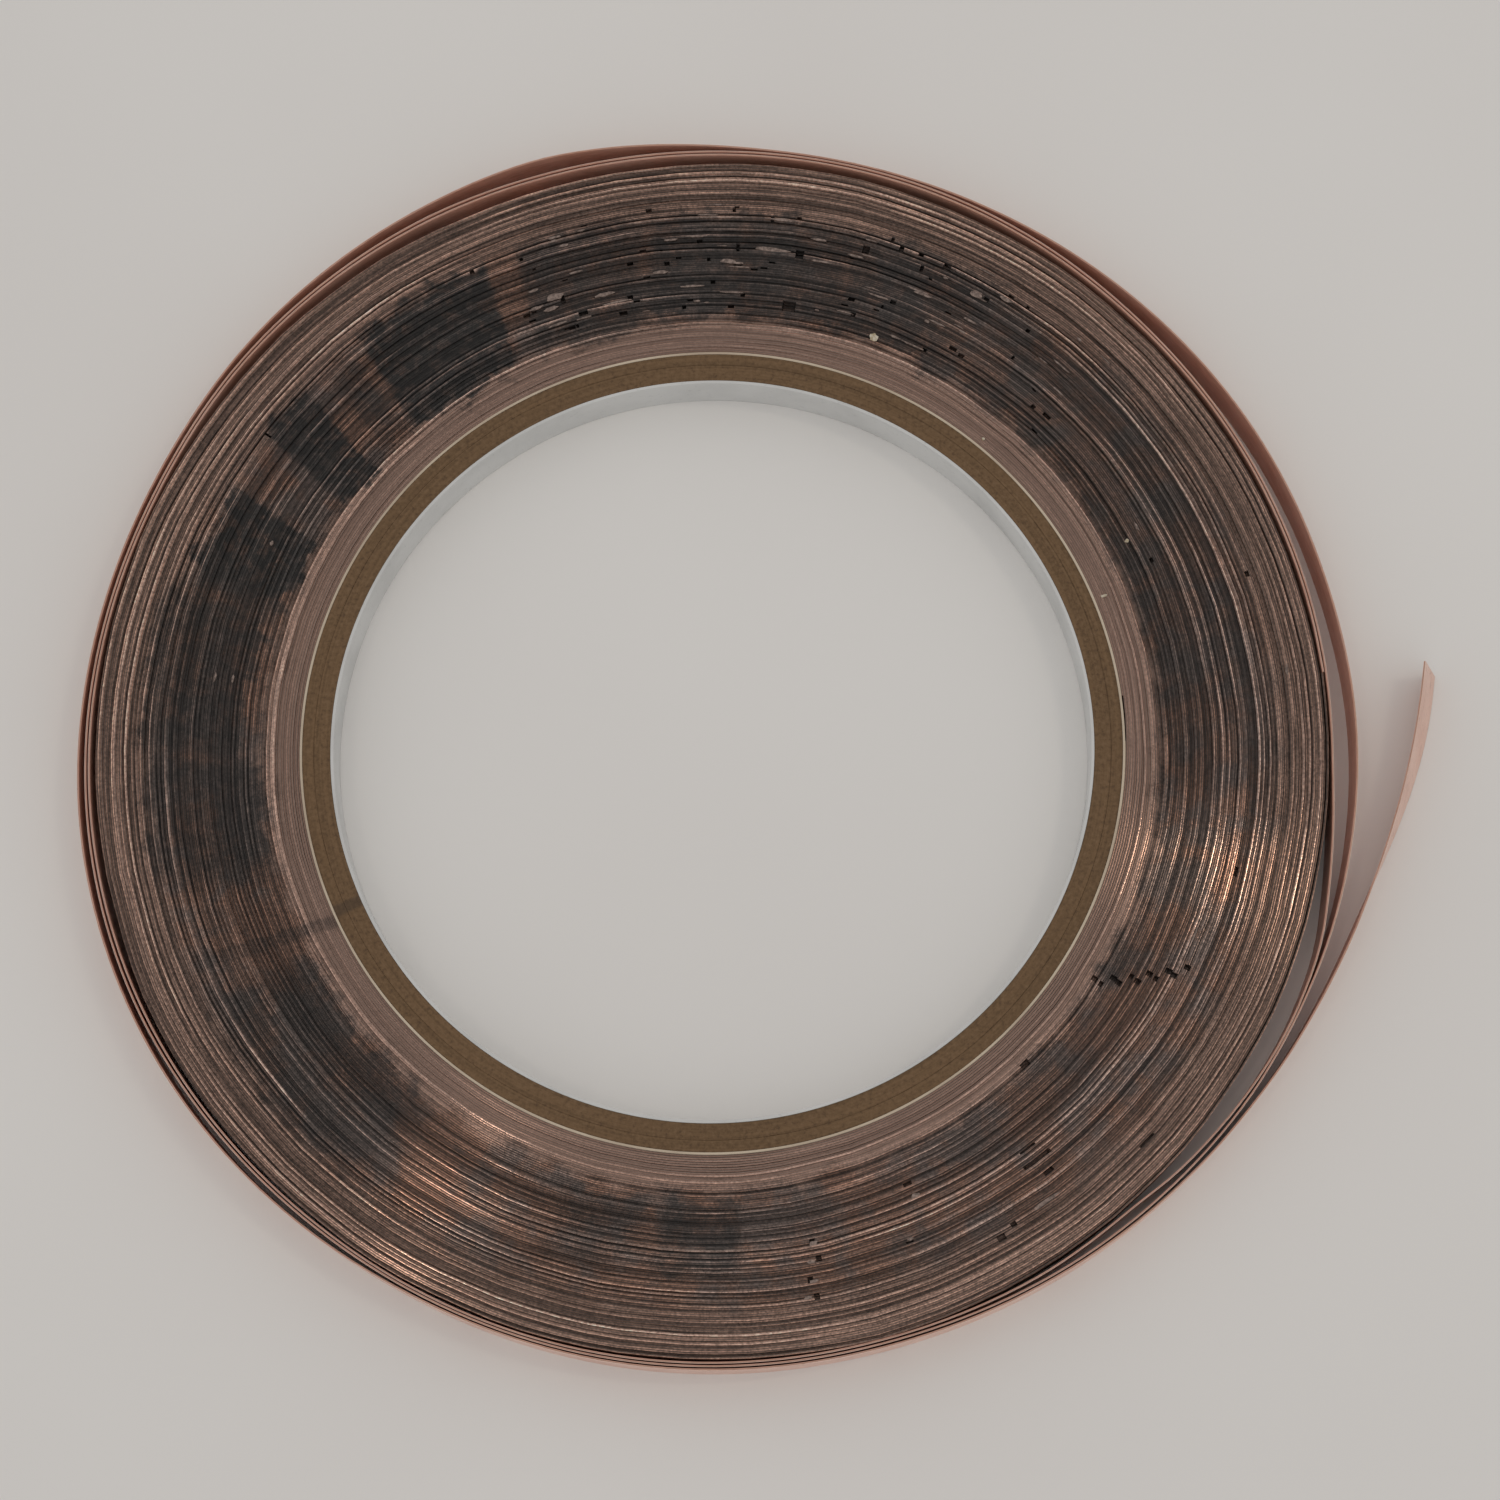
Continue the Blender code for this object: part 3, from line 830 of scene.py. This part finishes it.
def pack_sides(faces, station, size):
    """Which side of a four-cornered strip each face is on, and which of its corners are on the low side."""
    corner = faces % size
    top = np.isin(corner, (0, 1)).all(axis=1)
    outer = np.isin(corner, (1, 2)).all(axis=1)
    bottom = np.isin(corner, (2, 3)).all(axis=1)
    side = np.where(top, 0, np.where(outer, 1, np.where(bottom, 2, 3)))
    low = np.isin(corner, (0, 3)).astype(float)
    low = np.where((side == 1)[:, None], corner == 2, low)
    low = np.where((side == 3)[:, None], corner == 3, low)
    return side, low


def wound_strip(name, turned, radius, width, top_drop, bottom_drop, slope, material):
    """Build one layer of the tight turns as a four-cornered strip that is wound up."""
    lean = width * math.tan(math.radians(slope))
    corners = [
        (-width / 2, half_width - top_drop),
        (width / 2, half_width - top_drop - lean),
        (width / 2, -half_width + bottom_drop + lean),
        (-width / 2, -half_width + bottom_drop),
    ]
    points = np.empty((len(turned), 4, 3))
    for k, (out, height) in enumerate(corners):
        points[:, k, 0] = (radius + out) * np.cos(turned)
        points[:, k, 1] = (radius + out) * np.sin(turned)
        points[:, k, 2] = height
    faces = np.vstack([loft((len(turned), 4)), caps(len(turned), 4)])
    strip = new_piece(name, points.reshape(-1, 3), faces, material, "roll")
    store(strip, "turn", np.repeat((turned - turned[0]) / math.tau, 4))
    store(strip, "sunk", np.repeat(top_drop / MM, 4))
    bake_map(strip, turned, 4, pack_sides)
    return strip


def build_pack(join_radius, join_direction):
    first = math.radians(join_direction)
    regular = first + np.arange(PACK_TURNS * PACK_STEPS_PER_TURN + 1) * (math.tau / PACK_STEPS_PER_TURN)
    places = nick_places(regular, pack_path(np.random.default_rng(7), regular, join_radius))
    turned = np.unique(np.round(np.concatenate([regular, nick_stations(places)]), 7))
    rng = np.random.default_rng(7)
    radius = pack_path(rng, turned, join_radius)
    top = edge_heights(rng, turned, MEAN_EDGE_DROP, FACE_RUNS) + nick_drop(turned, places)
    bottom = edge_heights(rng, turned, MEAN_EDGE_DROP * 0.6, BACK_RUNS)
    foil = wound_strip(
        "wound_foil", turned, radius, PACK_FOIL_WIDTH, top, bottom, FOIL_EDGE_SLOPE,
        wound_foil_material(),
    )
    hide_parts("wound_pack")
    paper_radius = radius - (PACK_FOIL_WIDTH + PACK_PAPER_WIDTH) / 2 - 0.008 * MM
    paper = wound_strip(
        "wound_release_paper", turned, paper_radius, PACK_PAPER_WIDTH,
        top + PAPER_EDGE_DROP + random_line(rng, turned, 0.3, 0.02 * MM),
        bottom + PAPER_EDGE_DROP, 0, wound_paper_material(),
    )
    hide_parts("wound_pack")


def flake_points(rng, direction, radius, length, height, top):
    """One flake: an uneven flat patch along a turn, with a lower rim and a foot inside the turns."""
    around = np.linspace(0, math.tau, FLAKE_CORNERS, endpoint=False)
    uneven = rng.uniform(0.7, 1.15, FLAKE_CORNERS)
    rings = []
    for size, level in ((0.55, top), (1.0, top - 0.05 * MM), (0.95, top - 0.4 * MM)):
        along = np.cos(around) * uneven * size * length / 2 * MM
        out = np.sin(around) * uneven * size * height / 2 * MM
        at = math.radians(direction) + along / (radius * MM)
        far = radius * MM + out
        heights = level + rng.uniform(-0.012, 0.0, FLAKE_CORNERS) * MM
        rings.append(np.stack([far * np.cos(at), far * np.sin(at), heights], axis=1))
    return np.vstack(rings)


def build_flakes(name, table, top, material, seed):
    """Put small closed patches on the winding face, all in one mesh."""
    rng = np.random.default_rng(seed)
    points, faces = [], []
    for direction, radius, length, height in table:
        base = sum(len(p) for p in points)
        points.append(flake_points(rng, direction, radius, length, height, top))
        ring = list(range(FLAKE_CORNERS))
        faces.append(tuple(base + k for k in ring))
        faces.append(tuple(base + 2 * FLAKE_CORNERS + k for k in reversed(ring)))
        for upper in (base, base + FLAKE_CORNERS):
            lower = upper + FLAKE_CORNERS
            for k in ring:
                ahead = (k + 1) % FLAKE_CORNERS
                faces.append((lower + k, lower + ahead, upper + ahead, upper + k))
    mesh = bpy.data.meshes.new(name)
    mesh.from_pydata(np.vstack(points).tolist(), [], faces)
    mesh.materials.append(material)
    mesh.shade_smooth()
    mesh.set_sharp_from_angle(angle=math.radians(SHARP_EDGE_ANGLE))
    piece = bpy.data.objects.new(name, mesh)
    bpy.context.scene.collection.objects.link(piece)
    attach(piece, "roll")


# Loose turns and free end


def tape_strip(name, windings, depth, thickness, material, body, rough_edge, rows=3):
    """Build one layer of the loose tape between its first and last winding, depth inside the outer face."""
    rails = smooth_through(rail_windings, rail_points, windings)
    ahead = smooth_through(rail_windings, rail_points, windings + PATH_HALF_STEP)
    behind = smooth_through(rail_windings, rail_points, windings - PATH_HALF_STEP)
    top, bottom = rails[:, :3], rails[:, 3:]
    middle_step = (ahead - behind).reshape(-1, 2, 3).mean(axis=1)
    along = unit(middle_step * np.array([1, 1, 0]))
    across = unit(top - bottom)
    outward = np.cross(across, along)
    outward *= np.sign((outward * (top * np.array([1, 1, 0]))).sum(axis=1))[:, None]
    rng = np.random.default_rng(int(windings[0] * 7) + len(name))
    places = np.linspace(0, 1, rows + 1)
    lengths = np.concatenate([[0], np.cumsum(np.linalg.norm(np.diff(top, axis=0), axis=1))])
    size = 2 * (rows + 1)
    points = np.empty((len(windings), size, 3))
    ups = np.empty((len(windings), size))
    nibble = random_line(rng, lengths, 0.7 * MM, rough_edge)
    for k, share in enumerate(places):
        line = top + (bottom - top) * share
        if k == 0:
            line = line - across * np.abs(nibble)[:, None]
        points[:, k] = line - outward * depth
        points[:, size - 1 - k] = line - outward * (depth + thickness)
        ups[:, k] = ups[:, size - 1 - k] = share * np.linalg.norm(top - bottom, axis=1) / MM
    faces = np.vstack([loft((len(windings), size)), caps(len(windings), size)])
    strip = new_piece(name, points.reshape(-1, 3), faces, material, body)
    store(strip, "along", np.repeat(lengths / MM, size))
    store(strip, "up", ups.ravel())
    return strip


def tape_layers():
    """Name, depth of its outer side, thickness, material, slot and edge roughness of each layer."""
    return [
        ("foil", 0.0, FOIL_THICKNESS, copper, "copper_foil", 0.02 * MM),
        ("adhesive", FOIL_THICKNESS + LAYER_GAP, ADHESIVE_THICKNESS, adhesive, "adhesive", 0.03 * MM),
        ("release_paper", TAPE_THICKNESS - PAPER_THICKNESS, PAPER_THICKNESS, release, "release_paper",
         0.02 * MM),
    ]


def spaced(start, stop, step):
    return np.linspace(start, stop, max(2, round(abs(stop - start) / step) + 1))


def hinge_winding(joint):
    """The winding angle of a joint's hinge line."""
    found = next(j for j in frame["joints"] if j["name"] == joint)
    place = np.array(found["pos_m"])[None]
    return float((tip_direction - directions_of(place)[0]) % 360)


def build_loose_turns(first_cut):
    ends = [first_cut, 360, 720, rail_windings[-1]]
    for number, name in enumerate(TURN_NAMES):
        for layer, depth, thickness, material, slot, rough in tape_layers():
            strip = tape_strip(
                f"loose_{name}_{layer}", spaced(ends[number], ends[number + 1], STRIP_STEP),
                depth, thickness, material, "roll", rough,
            )
            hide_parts(f"{name}_{layer}")


def build_free_end(hinges, cuts):
    """Build the free end's lengths, each centred on a hinge line."""
    for number, hinge in enumerate(hinges):
        for layer, depth, thickness, material, slot, rough in tape_layers():
            start, stop = cuts[number], cuts[number + 1]
            if stop == rail_windings[0] and layer == "release_paper":
                stop = peel_cut
            strip = tape_strip(
                f"free_end_{number + 1}_{layer}", spaced(start, stop, 0.5),
                depth, thickness, material, None, rough,
            )
            bend_across(strip)
            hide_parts(f"{TAIL_NAMES[number]}_{layer}")
    layer, depth, thickness, material, slot, rough = tape_layers()[2]
    tab = tape_strip("peeled_release_paper", spaced(peel_cut, rail_windings[0], 0.4), depth, thickness,
                     material, None, rough)
    bend_across(tab)
    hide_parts("peel_tab")


def bend_across(strip):
    """Bake the strip's world placement into its mesh.
    """
    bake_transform(strip)


# Stage


def area_light(name, direction, elevation, distance, size, energy, colour):
    """A soft lamp above the roll, aimed at its centre."""
    lamp = bpy.data.lights.new(name, "AREA")
    lamp.shape = "RECTANGLE"
    lamp.size, lamp.size_y = size
    lamp.energy = energy
    lamp.color = colour
    holder = bpy.data.objects.new(name, lamp)
    bpy.context.scene.collection.objects.link(holder)
    azimuth, height = math.radians(direction), math.radians(elevation)
    place = np.array([
        math.cos(azimuth) * math.cos(height), math.sin(azimuth) * math.cos(height), math.sin(height)
    ]) * distance
    holder.location = place
    holder.rotation_mode = "XYZ"
    holder.rotation_euler = (0.0, math.radians(90 - elevation), azimuth)


def build_stage():
    floor_top = cad_box[0].z
    paint = Paint("pale_floor")
    cloud = paint.noise(paint.place(), 9.0, 3.0)
    colour = paint.mix(paint.remap(cloud, 0.3, 0.7), (0.84, 0.825, 0.805), (0.81, 0.79, 0.77))
    material = paint.finish(colour, 0.7)
    size = 1.5
    mesh = bpy.data.meshes.new("floor")
    corners = [(-size, -size), (size, -size), (size, size), (-size, size)]
    mesh.from_pydata([(x, y, floor_top) for x, y in corners], [], [(0, 1, 2, 3)])
    mesh.materials.append(material)
    floor = bpy.data.objects.new("floor", mesh)
    bpy.context.scene.collection.objects.link(floor)
    world = bpy.data.worlds.new("soft_room")
    bpy.context.scene.world = world
    world.use_nodes = True
    sky = world.node_tree.nodes["Background"]
    sky.inputs["Color"].default_value = (1.0, 0.985, 0.97, 1.0)
    sky.inputs["Strength"].default_value = 0.61
    area_light("right_lamp", 12, 62, 1.2, (0.17, 0.032), 0.5, (1.0, 0.88, 0.72))
    area_light("left_lamp", 217, 70, 1.2, (0.17, 0.032), 0.3, (1.0, 0.88, 0.76))


def build_camera():
    camera = bpy.data.objects.new("camera", bpy.data.cameras.new("camera"))
    bpy.context.scene.collection.objects.link(camera)
    camera.location = CAMERA_PLACE
    camera.rotation_euler = [math.radians(angle) for angle in CAMERA_TILT]
    camera.data.lens = CAMERA_LENS
    camera.data.sensor_width = CAMERA_SENSOR
    camera.data.clip_start = NEAREST_SEEN
    bpy.context.scene.camera = camera
    bpy.context.scene.view_settings.view_transform = "Standard"


tip_points = node_points("tail_4_foil")
tip_direction = directions_of(tip_points[tip_points[:, 2] > 0]).max()
rail_windings, rail_points = loose_tape_rails()
hinges = [hinge_winding(name) for name in (
    "tail_root_bend", "tail_root_bend_2", "tail_tip_bend", "tail_tip_bend_2")]
cuts = [hinges[0] + 6.5] + [(a + b) / 2 for a, b in zip(hinges, hinges[1:])] + [rail_windings[0]]
peel_cut = (hinges[3] + hinge_winding("paper_peel")) / 2

copper = copper_material()
adhesive = adhesive_material()
release = release_paper_material()

build_core()
inner_end = rail_points[-1]
join_radius = np.hypot(inner_end[0], inner_end[1]) - TAPE_THICKNESS / 2
build_pack(join_radius, directions_of(inner_end[None, :3])[0])
worn_flakes = worn_marks(31, WORN_FLAKES, (0.5, 2.4), (0.12, 0.34))
flake_top = half_width - 0.01 * MM
build_flakes("bent_edge_flakes", FLAKES + worn_flakes, flake_top, flake_material(), 3)
build_flakes("dust_specks", SPECKS, half_width, speck_material(), 5)
build_loose_turns(cuts[0])
build_free_end(hinges, cuts)
build_stage()
build_camera()
